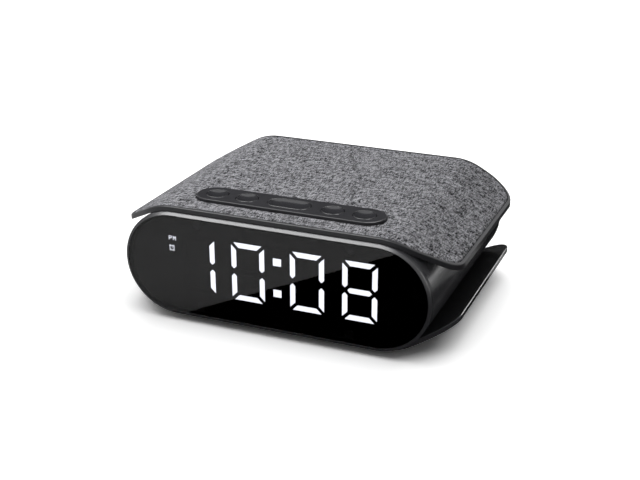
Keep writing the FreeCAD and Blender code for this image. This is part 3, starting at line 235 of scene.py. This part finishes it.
def wovenMelangeCloth():  # plain weave of yarns spun from dark and light fibres: a dry grey crosshatch
    weave = {
        "yarnMm": 0.56,          # about as real yarns are, which just show at this distance
        "runMm": 4.0,            # how far one yarn keeps its tone
        "float": 0.35,           # how much a pale yarn shows where it dips under
        "dark": "#19191B", "light": "#E6E6EC",
        "split": (0.44, 0.65),   # how sharply a yarn turns from dark to light
        "valleyShade": 0.35,          # painted shade: how much darker the gaps between yarns are drawn in the colour
        "patchMm": 11, "patch": 0.08, "patchSplit": (0.3, 0.7),
        "wobble": 0.22, "wobbleScale": 0.6,      # both in yarns: how far a yarn strays, and how often
        "laneStep": 7.31, "layerStep": 3.7,      # keep yarns, and warp and weft, apart in the noise
        "dipHeight": 0.5,        # of a yarn where it passes under
        "reliefMm": 0.24,
    }
    material, tree, surface, where = startMaterial("wovenMelangeCloth", {
        "Roughness": 0.92, "IOR": 1.45, "Specular IOR Level": 0.1, "Sheen Weight": 0.04,
        "Sheen Roughness": 0.45})
    uv = addNode(tree, "UVMap", uv_map="yarns").outputs[0]
    yarns = addNode(tree, "VectorMath", {0: uv, "Scale": 1 / (weave["yarnMm"] * mm)}, operation="SCALE")
    drift = addNode(tree, "TexNoise", {"Vector": yarns.outputs[0], "Scale": weave["wobbleScale"],
                                       "Detail": 1.0})
    shift = addNode(tree, "VectorMath", {0: drift.outputs[1], "Scale": weave["wobble"] * 2},
                    operation="SCALE")
    cell = addNode(tree, "VectorMath", {0: yarns.outputs[0], 1: shift.outputs[0]}).outputs[0]
    index = addNode(tree, "VectorMath", {0: cell}, operation="FLOOR").outputs[0]
    inside = addNode(tree, "VectorMath", {0: cell}, operation="FRACTION").outputs[0]
    centred = addNode(tree, "VectorMath", {0: inside, 1: (2, 2, 0), 2: (-1, -1, 0)},
                      operation="MULTIPLY_ADD").outputs[0]
    square = addNode(tree, "VectorMath", {0: centred, 1: centred}, operation="MULTIPLY").outputs[0]
    crown = addNode(tree, "VectorMath", {0: (1, 1, 0), 1: square}, operation="SUBTRACT").outputs[0]
    crownParts = addNode(tree, "SeparateXYZ", {0: crown}).outputs
    indexParts = addNode(tree, "SeparateXYZ", {0: index}).outputs
    cellParts = addNode(tree, "SeparateXYZ", {0: cell}).outputs
    count = addNode(tree, "Math", {0: indexParts[0], 1: indexParts[1]})
    # warp and weft take turns on top
    over = addNode(tree, "Math", {0: count.outputs[0], 1: 2.0}, operation="FLOORED_MODULO").outputs[0]
    tones = []
    heights = []
    for across, along in ((0, 1), (1, 0)):
        lane = addNode(tree, "Math", {0: indexParts[across], 1: weave["laneStep"]}, operation="MULTIPLY")
        run = addNode(tree, "Math", {0: cellParts[along], 1: weave["yarnMm"] / weave["runMm"]},
                      operation="MULTIPLY")
        spot = addNode(tree, "CombineXYZ", {0: lane.outputs[0], 1: run.outputs[0],
                                            2: weave["layerStep"] * across})
        fibre = addNode(tree, "TexNoise", {"Vector": spot.outputs[0], "Scale": 1.0, "Detail": 2.0,
                                           "Roughness": 0.7})
        low, high = weave["split"]
        tone = addNode(tree, "MapRange", {"Value": fibre.outputs[0], "From Min": low, "From Max": high})
        tones.append(tone.outputs[0])
        dip = addNode(tree, "MapRange", {"Value": crownParts[along], "To Min": weave["dipHeight"]})
        height = addNode(tree, "Math", {0: crownParts[across], 1: dip.outputs[0]}, operation="MULTIPLY")
        heights.append(height.outputs[0])
    upper = addNode(tree, "Mix", {0: over, 2: tones[0], 3: tones[1]}).outputs[0]
    paler = addNode(tree, "Math", {0: tones[0], 1: tones[1]}, operation="MAXIMUM").outputs[0]
    tone = addNode(tree, "Mix", {0: weave["float"], 2: upper, 3: paler}).outputs[0]
    height = addNode(tree, "Mix", {0: over, 2: heights[0], 3: heights[1]}).outputs[0]
    patches = addNode(tree, "TexNoise", {"Vector": uv, "Scale": 1 / (weave["patchMm"] * mm), "Detail": 2.0})
    low, high = weave["patchSplit"]
    patch = addNode(tree, "MapRange", {"Value": patches.outputs[0], "From Min": low, "From Max": high,
                                       "To Min": 1 - weave["patch"], "To Max": 1 + weave["patch"]})
    # painted shade: the colour is darkened where the yarns dip into the gaps, as if shaded by the yarns beside
    # them; the patches below are the cloth's own random tone
    light = addNode(tree, "MapRange", {"Value": height, "To Min": 1 - weave["valleyShade"]})
    toneAndValleyShade = addNode(tree, "Math", {0: light.outputs[0], 1: patch.outputs[0]}, operation="MULTIPLY")
    yarn = addNode(tree, "Mix", {0: tone, 6: linear(weave["dark"]), 7: linear(weave["light"])},
                   data_type="RGBA")
    colour = addNode(tree, "VectorMath", {0: yarn.outputs[2], "Scale": toneAndValleyShade.outputs[0]}, operation="SCALE")
    tree.links.new(colour.outputs[0], surface.inputs["Base Color"])
    bump = addNode(tree, "Bump", {"Height": height, "Distance": weave["reliefMm"] * mm})
    tree.links.new(bump.outputs[0], surface.inputs["Normal"])
    return material


finishes = {name: mouldedPlastic(name, finish) for name, finish in plastics.items()}
finishes.update({name: finishedMetal(name, finish) for name, finish in metals.items()})
finishes.update({"circuit_board": etchedBoard(), "lit_diffuser": litDiffuser(), "lamp_chip": lampChip(),
                 "smoked_acrylic": castSmokedAcrylic(), "woven_fabric": wovenMelangeCloth()})
for part in frame["record"]["subparts"]:
    for slot in frame["nodes"][part["node"]].material_slots:
        slot.material = finishes[part["material_slot"]]
print("materials:", len(finishes))


def buildMesh(name, points, faces, material):
    mesh = bpy.data.meshes.new(name)
    mesh.from_pydata(points, [], faces)
    mesh.validate()
    mesh.materials.append(material)
    piece = bpy.data.objects.new(name, mesh)
    bpy.context.scene.collection.objects.link(piece)
    return piece


# Cloth on the top cover, glued into its recess with the edges rolled into an open groove

cloth = {                    # lengths in millimetres, angles in degrees
    "shoulderX": 71.2, "frontSweep": 33.0,      # where the front edge turns back, and by what angle
    "shoulderRadius": 34.0, "tipRadius": 16.0, "rearRadius": 20.0,      # corners of the cover's outline
    "edgeInset": 1.75,       # the cover's rim and the groove
    "barGap": 0.4,           # all round the button bar
    "flatHalf": 58.5, "skinRadius": 33.0, "wingBend": 29.0,             # section of the cover's outer skin
    "thickness": 0.95, "edgeRoll": 0.8,
    "rollSteps": (0, 0.12, 0.35, 0.65, 1.1),    # rings of points over the rolled edge
    "arcStep": 6.0,          # between points of a corner
    "meshStep": 2.4, "clearance": 0.55,         # of the inner points, which keep this share of a step clear
}


def skinHeight(x, radius):
    bend = math.radians(cloth["wingBend"])
    past = abs(x) - cloth["flatHalf"]
    if past <= 0:
        return radius
    knee = radius * math.sin(bend)
    if past <= knee:
        return math.sqrt(radius ** 2 - past ** 2)
    return radius * math.cos(bend) - (past - knee) * math.tan(bend)


def skinLength(x):       # along the skin from the middle of the clock
    bend = math.radians(cloth["wingBend"])
    radius = cloth["skinRadius"]
    past = abs(x) - cloth["flatHalf"]
    knee = radius * math.sin(bend)
    length = abs(x)
    if past > 0:
        length = cloth["flatHalf"] + radius * math.asin(min(past, knee) / radius)
        length += max(past - knee, 0) / math.cos(bend)
    return math.copysign(length, x)


def cornerArcs(corners, radii):       # centre, radius and the two end angles of each rounded corner
    arcs = []
    for i, corner in enumerate(corners):
        back = (corners[i - 1] - corner).normalized()
        ahead = (corners[(i + 1) % len(corners)] - corner).normalized()
        half = back.angle(ahead) / 2
        centre = corner + (back + ahead).normalized() * (radii[i] / math.sin(half))
        start = corner + back * (radii[i] / math.tan(half)) - centre
        end = corner + ahead * (radii[i] / math.tan(half)) - centre
        first = math.atan2(start.y, start.x)
        turn = (math.atan2(end.y, end.x) - first + math.pi) % (2 * math.pi) - math.pi
        arcs.append((centre, radii[i], first, turn))
    return arcs


def ringPoints(arcs, grow):       # the outline grown outward, with the same count of points at every growth
    spans = []
    for centre, radius, first, turn in arcs:
        steps = max(2, round(abs(math.degrees(turn)) / cloth["arcStep"]))
        angles = [first + turn * k / steps for k in range(steps + 1)]
        spans.append([(centre + Vector((math.cos(a), math.sin(a))) * radius,
                       centre + Vector((math.cos(a), math.sin(a))) * (radius + grow)) for a in angles])
    ring = []
    for i, span in enumerate(spans):
        ring += [grown for plain, grown in span]
        after = spans[(i + 1) % len(spans)][0]
        run = (after[0] - span[-1][0]).length
        steps = max(1, round(run / cloth["meshStep"]))
        ring += [span[-1][1].lerp(after[1], k / steps) for k in range(1, steps)]
    return ring


def insideRing(point, ring):
    hits = 0
    for a, b in zip(ring, ring[1:] + ring[:1]):
        crosses = (a.y > point.y) != (b.y > point.y)
        if crosses and point.x < a.x + (b.x - a.x) * (point.y - a.y) / (b.y - a.y):
            hits += 1
    return hits % 2 == 1


def ringDistance(point, ring):
    return min((point - corner).length for corner in ring)


def fabricPanel():
    low, high = (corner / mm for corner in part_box("top_cover"))
    barLow, barHigh = (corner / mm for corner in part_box("button_bar"))
    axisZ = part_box("fabric_panel")[1].z / mm - cloth["skinRadius"]
    sweep = math.tan(math.radians(cloth["frontSweep"]))
    tipY = low.y + (high.x - cloth["shoulderX"]) * sweep
    right = [Vector((cloth["shoulderX"], low.y)), Vector((high.x, tipY)), Vector((high.x, high.y))]
    left = [Vector((-p.x, p.y)) for p in reversed(right)]
    radii = [cloth["shoulderRadius"], cloth["tipRadius"], cloth["rearRadius"]]
    outline = cornerArcs(right + left, radii + radii[::-1])
    halfWidth = (barHigh.y - barLow.y) / 2 + cloth["barGap"]
    barY = (barHigh.y + barLow.y) / 2
    middle = barHigh.x + cloth["barGap"] - halfWidth
    bar = [(Vector((middle, barY)), halfWidth, -math.pi / 2, math.pi),
           (Vector((-middle, barY)), halfWidth, math.pi / 2, math.pi)]
    outerRings = [ringPoints(outline, -cloth["edgeInset"] - step) for step in cloth["rollSteps"]]
    barRings = [ringPoints(bar, step) for step in cloth["rollSteps"]]

    roll = cloth["edgeRoll"]
    points = []
    drops = []
    faces = []
    firsts = []
    for rings in (outerRings, barRings):
        starts = []
        for step, ring in zip(cloth["rollSteps"], rings):
            starts.append(len(points))
            reach = max(roll - step, 0)
            points += ring
            drops += [roll - math.sqrt(roll ** 2 - reach ** 2)] * len(ring)
        firsts.append(starts)
        count = len(rings[0])
        for a, b in zip(starts, starts[1:]):
            for k in range(count):
                after = (k + 1) % count
                quad = [a + k, a + after, b + after, b + k]
                faces.append(quad if rings is outerRings else quad[::-1])

    outerLast, barLast = outerRings[-1], barRings[-1]
    seeds = [firsts[0][-1] + k for k in range(len(outerLast))]
    seeds += [firsts[1][-1] + k for k in range(len(barLast))]
    loops = [list(range(len(outerLast))), list(range(len(outerLast), len(seeds)))]
    step = cloth["meshStep"]
    rows = int(max(p.y for p in outerLast) / step) + 1
    columns = int(max(p.x for p in outerLast) / step) + 1
    for row in range(-rows, rows + 1):
        for column in range(-columns, columns + 1):
            place = Vector(((column + 0.5 * (row % 2)) * step, row * step))
            if not insideRing(place, outerLast) or insideRing(place, barLast):
                continue
            if min(ringDistance(place, outerLast), ringDistance(place, barLast)) > step * cloth["clearance"]:
                seeds.append(len(points))
                points.append(place)
                drops.append(0.0)
    flat = [points[i] for i in seeds]
    edges = [(a, b) for loop in loops for a, b in zip(loop, loop[1:] + loop[:1])]
    corners, _, triangles, origins, *_ = delaunay_2d_cdt(flat, edges, [], 0, 1e-6)
    sources = [origin[0] for origin in origins]
    for triangle in triangles:
        centre = sum((corners[i] for i in triangle), Vector((0, 0))) / len(triangle)
        if insideRing(centre, outerLast) and not insideRing(centre, barLast):
            faces.append([seeds[sources[i]] for i in triangle])

    total = len(points)
    vertices = []
    for layer in (0, 1):
        for point, drop in zip(points, drops):
            radius = cloth["skinRadius"] - (drop if layer == 0 else cloth["thickness"])
            vertices.append(Vector((point.x, point.y, axisZ + skinHeight(point.x, radius))) * mm)
    under = [[i + total for i in reversed(face)] for face in faces]
    walls = []
    for starts, rings in zip(firsts, (outerRings, barRings)):
        count = len(rings[0])
        for k in range(count):
            a, b = starts[0] + k, starts[0] + (k + 1) % count
            quad = [b, a, a + total, b + total]
            walls.append(quad if rings is outerRings else quad[::-1])
    piece = buildMesh("woven_panel", vertices, faces + under + walls, finishes["woven_fabric"])
    layer = piece.data.uv_layers.new(name="yarns")
    for loop in piece.data.loops:
        point = points[loop.vertex_index % total]
        layer.data[loop.index].uv = (skinLength(point.x) * mm, point.y * mm)
    for polygon in piece.data.polygons:
        polygon.use_smooth = polygon.index < len(faces)
    width = 2 * skinLength(max(p.x for p in outerRings[0])) * mm
    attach(piece, "clock")
    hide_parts("fabric_panel")


fabricPanel()


# Marks printed in the dished buttons

marks = {
    "lineWidth": 0.5, "raise": 0.06, "sink": 0.1,      # ink stands a little above the dish
    "pointStep": 0.35, "arcSteps": 10,
    "flange": 0.8, "dishDepth": 1.1,                   # of the buttons
    "ink": {"colour": "#18181A", "cloud": "#1E1E20", "roughness": (0.3, 0.4), "ior": 1.5,
            "cloudMm": 2, "grainMm": 0.4, "deepMm": 0.004},      # pad-printed dark ink, thin and even
}


def arcLine(x, y, radius, first, last):
    steps = marks["arcSteps"]
    angles = [math.radians(first + (last - first) * k / steps) for k in range(steps + 1)]
    return [(x + radius * math.cos(a), y + radius * math.sin(a)) for a in angles]


# Lines of each mark, in millimetres from the middle of its button, +Y away from the reader
markLines = {
    "time": [arcLine(0, 0, 2.3, 0, 360), [(0, 0), (0, 1.4)], [(0, 0), (1.1, -0.5)]],
    "alarm": [[(-2.2, -1.3), (-1.5, -0.6)] + arcLine(0, 0.5, 1.5, 180, 0)
              + [(1.5, -0.6), (2.2, -1.3), (-2.2, -1.3)],
              [(-0.5, -2.1), (0.5, -2.1)]],
    "talk": [[(-4.2, -0.8), (-3.0, -0.8), (-1.5, -2.0), (-1.5, 2.0), (-3.0, 0.8), (-4.2, 0.8), (-4.2, -0.8)],
             arcLine(-1.5, 0, 2.0, -45, 45), arcLine(-1.5, 0, 3.5, -42, 42), arcLine(-1.5, 0, 5.0, -38, 38)],
    "down": [[(-1.8, 0.9), (0, -0.9), (1.8, 0.9)]],
    "up": [[(-1.8, -0.9), (0, 0.9), (1.8, -0.9)]],
}


def buttonMark(button, lines, material):
    low, high = (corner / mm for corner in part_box("button_" + button))
    centre = (low + high) / 2
    capRadius = (high.y - low.y) / 2 - marks["flange"]
    straight = (high.x - low.x) / 2 - marks["flange"] - capRadius
    dishRadius = (capRadius ** 2 + marks["dishDepth"] ** 2) / (2 * marks["dishDepth"])

    def dish(x, y):
        away = math.hypot(max(abs(x) - straight, 0), y)
        return high.z - marks["dishDepth"] + dishRadius - math.sqrt(dishRadius ** 2 - away ** 2)

    points = []
    faces = []
    half = marks["lineWidth"] / 2
    for line in lines:
        route = [Vector(line[0])]
        for a, b in zip(line, line[1:]):
            a, b = Vector(a), Vector(b)
            steps = max(1, round((b - a).length / marks["pointStep"]))
            route += [a.lerp(b, k / steps) for k in range(1, steps + 1)]
        closed = (route[0] - route[-1]).length < marks["pointStep"] / 10
        if closed:
            route.pop()
        first = len(points)
        count = len(route)
        for k, place in enumerate(route):
            before = route[k - 1] if k or closed else place
            after = route[(k + 1) % count] if k < count - 1 or closed else place
            back = (place - before).normalized() if place != before else (after - place).normalized()
            ahead = (after - place).normalized() if place != after else back
            along = (back + ahead).normalized()
            across = Vector((-along.y, along.x)) * half / max(along.dot(ahead), 0.5)
            for side in (across, -across):
                p = place + side
                z = dish(p.x, p.y)
                points.append(Vector((centre.x + p.x, centre.y + p.y, z + marks["raise"])) * mm)
                points.append(Vector((centre.x + p.x, centre.y + p.y, z - marks["sink"])) * mm)
        spans = count if closed else count - 1
        for k in range(spans):
            a = first + 4 * k
            b = first + 4 * ((k + 1) % count)
            faces += [[a, a + 2, b + 2, b], [a + 1, b + 1, b + 3, a + 3],
                      [a, b, b + 1, a + 1], [a + 2, a + 3, b + 3, b + 2]]
        if not closed:
            b = first + 4 * (count - 1)
            faces += [[first, first + 1, first + 3, first + 2], [b, b + 2, b + 3, b + 1]]
    piece = buildMesh("mark_" + button, points, faces, material)
    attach(piece, "key_" + button)


ink = mouldedPlastic("padPrintedInk", marks["ink"])
for button, lines in markLines.items():
    buttonMark(button, lines, ink)
print("button marks:", len(markLines))


# Studio: pale floor with a lamp of its own, one large soft lamp for the clock, a soft glow from the left,
# dark cards, and lamps that only show as reflections, each on the pieces named

studio = {
    "floorHalf": 4.0, "floorColour": 0.4, "floorForCamera": 1.3, "floorForGloss": 0.45,
    "overhead": (0.05, 0.12, 0.97), "overheadAngle": 82, "overheadStrength": 2.8,    # lights only the floor
    "glowDirection": (-0.6, -0.2, 0.75), "glowEdge": -0.5, "glowDark": 0.11, "glowBright": 0.35,
    # dark card beside the clock: its edge is the slanting line across the display window
    "flagEdge": ((-0.0562, -0.0808), (0.0243, -0.2017)), "flagReach": 0.5, "flagStart": 0.02,
    "rearFlag": ((-0.3, 0.09), (0.16, 0.3)),           # dark card behind the clock, for the body's far rim
    "flagHeight": 0.001,
    "backCardX": (-1.3, 0.35), "backCardY": 0.8, "backCardTop": 0.9,      # upright, for the flat tops
}
keyLamp = ((-0.34, -0.15, 0.92), 0.75, (0.55, 0.47), 6.0)      # direction, distance, size and radiance
glossLamps = {
    # direction, distance, size, radiance, and the pieces that mirror the lamp
    "patch": ((0.5, 0.84, 0.15), 0.45, (0.46, 0.2), 1.8, ["body_sleeve"]),       # soft patch on the side
    "strip": ((-0.34, -0.84, 0.42), 1.2, (0.9, 0.42), 24.0, ["front_bezel"]),    # line along the bezel's top
    "front": ((-0.34, -0.84, 0.42), 1.2, (0.9, 0.42), 9.0, ["top_cover"]),       # front edge of the cover
    "shoulder": ((0.22, -0.93, 0.3), 1.4, (0.14, 0.2), 9.0, ["front_bezel"]),    # glint on its shoulder
    "ring": ((0.8, -0.45, 0.15), 0.8, (0.5, 0.5), 12.0, ["front_bezel"]),        # right end of the bezel
    "rim": ((0.3, 0.84, 0.42), 0.8, (0.35, 0.35), 0.9, ["top_cover"]),           # right edge of the cover
    "edge": ((0.35, 0.84, 0.5), 0.8, (0.42, 0.25), 20.0, ["bottom_cover"]),      # edge of the lower wing
    "crown": ((0.72, -0.42, 0.55), 0.9, (0.6, 0.6), 8.0,
              ["button_" + button for button in markLines]),                     # rims of the buttons
    "bar": ((0.36, 0.04, 0.93), 0.9, (0.85, 0.9), 10.0, ["button_bar"]),         # rim of their bar
}


def stageMesh(name, corners, material):
    piece = buildMesh(name, corners, [list(range(len(corners)))], material)
    return piece


def floorMaterial():
    material = bpy.data.materials.new("paleFloor")
    material.use_nodes = True
    tree = material.node_tree
    tree.nodes.clear()
    path = addNode(tree, "LightPath").outputs
    mirrored = addNode(tree, "Math", {0: path["Is Glossy Ray"], 1: path["Is Transmission Ray"]},
                       use_clamp=True)
    grey = addNode(tree, "Mix", {0: mirrored.outputs[0], 2: studio["floorColour"],
                                 3: studio["floorForGloss"]})
    colour = addNode(tree, "Mix", {0: path["Is Camera Ray"], 2: grey.outputs[0], 3: studio["floorForCamera"]})
    surface = addNode(tree, "BsdfDiffuse", {"Color": colour.outputs[0]})
    addNode(tree, "OutputMaterial", {"Surface": surface.outputs[0]})
    return material


def blackCardMaterial():
    material = bpy.data.materials.new("blackCard")
    material.use_nodes = True
    tree = material.node_tree
    tree.nodes.clear()
    surface = addNode(tree, "BsdfDiffuse", {"Color": (0, 0, 0, 1)})
    addNode(tree, "OutputMaterial", {"Surface": surface.outputs[0]})
    return material


def glossOnly(piece):
    piece.visible_camera = False
    piece.visible_diffuse = False
    piece.visible_transmission = False
    piece.visible_shadow = False


half = studio["floorHalf"]
floorCorners = [(-half, -half, 0), (half, -half, 0), (half, half, 0), (-half, half, 0)]
floorPiece = stageMesh("studioFloor", floorCorners, floorMaterial())

blackCard = blackCardMaterial()


def darkCard(name, corners):
    card = stageMesh(name, corners, blackCard)
    glossOnly(card)
    return card


def onFloor(corners):
    return [(x, y, studio["flagHeight"]) for x, y in corners]


def flagCorners():
    near, far = (Vector(p) for p in studio["flagEdge"])
    along = (far - near).normalized()
    right = Vector((-along.y, along.x))
    if right.x < 0:
        right = -right
    start, end = near - along * studio["flagStart"], far + along * studio["flagReach"]
    return [start, end, end + right * studio["flagReach"], start + right * studio["flagReach"]]


(x0, y0), (x1, y1) = studio["rearFlag"]
darkCard("rearFlag", onFloor([(x0, y0), (x1, y0), (x1, y1), (x0, y1)]))
(x0, x1), y, top = (studio[key] for key in ("backCardX", "backCardY", "backCardTop"))
darkCard("backCard", [(x0, y, 0), (x1, y, 0), (x1, y, top), (x0, y, top)])
flag = darkCard("flag", onFloor(flagCorners()))
flag.visible_transmission = True      # the window's rear face mirrors it too


def aim(thing, target, roll=0.0):
    turn = (Vector(target) - thing.location).to_track_quat("-Z", "Y")
    thing.rotation_mode = "QUATERNION"
    thing.rotation_quaternion = turn @ Quaternion((0, 0, 1), math.radians(roll))


def softbox(name, where, distance, size, radiance):
    data = bpy.data.lights.new(name + "Lamp", "AREA")
    data.shape = "RECTANGLE"
    data.size, data.size_y = size
    data.energy = radiance * math.pi * size[0] * size[1]
    lamp = bpy.data.objects.new(name + "Lamp", data)
    bpy.context.scene.collection.objects.link(lamp)
    lamp.location = Vector(where).normalized() * distance
    aim(lamp, (0, 0, 0))
    return lamp


def shineOn(lamp, pieces, state="INCLUDE"):
    lit = bpy.data.collections.new(lamp.name + "Shines")
    for piece in pieces:
        lit.objects.link(piece)
    for entry in lit.collection_objects:
        entry.light_linking.link_state = state
    lamp.light_linking.receiver_collection = lit


def overheadLamp():
    data = bpy.data.lights.new("overheadLamp", "SUN")
    data.angle = math.radians(studio["overheadAngle"])
    data.energy = studio["overheadStrength"]
    lamp = bpy.data.objects.new("overheadLamp", data)
    bpy.context.scene.collection.objects.link(lamp)
    lamp.location = studio["overhead"]
    aim(lamp, (0, 0, 0))
    return lamp


shineOn(softbox("key", *keyLamp), [floorPiece], "EXCLUDE")
shineOn(overheadLamp(), [floorPiece])
for name, (where, distance, size, radiance, mirrors) in glossLamps.items():
    lamp = softbox(name, where, distance, size, radiance)
    glossOnly(lamp)
    shineOn(lamp, [frame["nodes"][node] for node in mirrors])

world = bpy.data.worlds.new("studioWorld")
bpy.context.scene.world = world
world.use_nodes = True
sky = world.node_tree
sky.nodes.clear()
direction = addNode(sky, "TexCoord").outputs["Generated"]
facing = addNode(sky, "VectorMath", {0: direction, 1: Vector(studio["glowDirection"]).normalized()},
                 operation="DOT_PRODUCT")
glow = addNode(sky, "MapRange", {
    "Value": facing.outputs["Value"], "From Min": studio["glowEdge"], "From Max": 1.0,
    "To Min": studio["glowDark"], "To Max": studio["glowBright"]}, interpolation_type="SMOOTHSTEP")
skyPath = addNode(sky, "LightPath").outputs
mirrored = addNode(sky, "Math", {0: skyPath["Is Glossy Ray"], 1: skyPath["Is Transmission Ray"]},
                   use_clamp=True)
seen = addNode(sky, "Math", {0: skyPath["Is Camera Ray"], 1: mirrored.outputs[0]}, use_clamp=True)
strength = addNode(sky, "Mix", {0: seen.outputs[0], 2: glow.outputs[0], 3: 1.0})
background = addNode(sky, "Background", {"Color": (1, 1, 1, 1), "Strength": strength.outputs[0]})
addNode(sky, "OutputWorld", {"Surface": background.outputs[0]})

view = {"place": (0.2343, -0.56715, 0.2828), "target": (0.00283, -0.00935, 0.0347), "roll": -0.08,
        "lens": 64.16}
cameraData = bpy.data.cameras.new("camera")
cameraData.lens = view["lens"]
camera = bpy.data.objects.new("camera", cameraData)
bpy.context.scene.collection.objects.link(camera)
camera.location = view["place"]
aim(camera, view["target"], view["roll"])
bpy.context.scene.camera = camera
bpy.context.scene.view_settings.view_transform = "Standard"
print("studio ready")
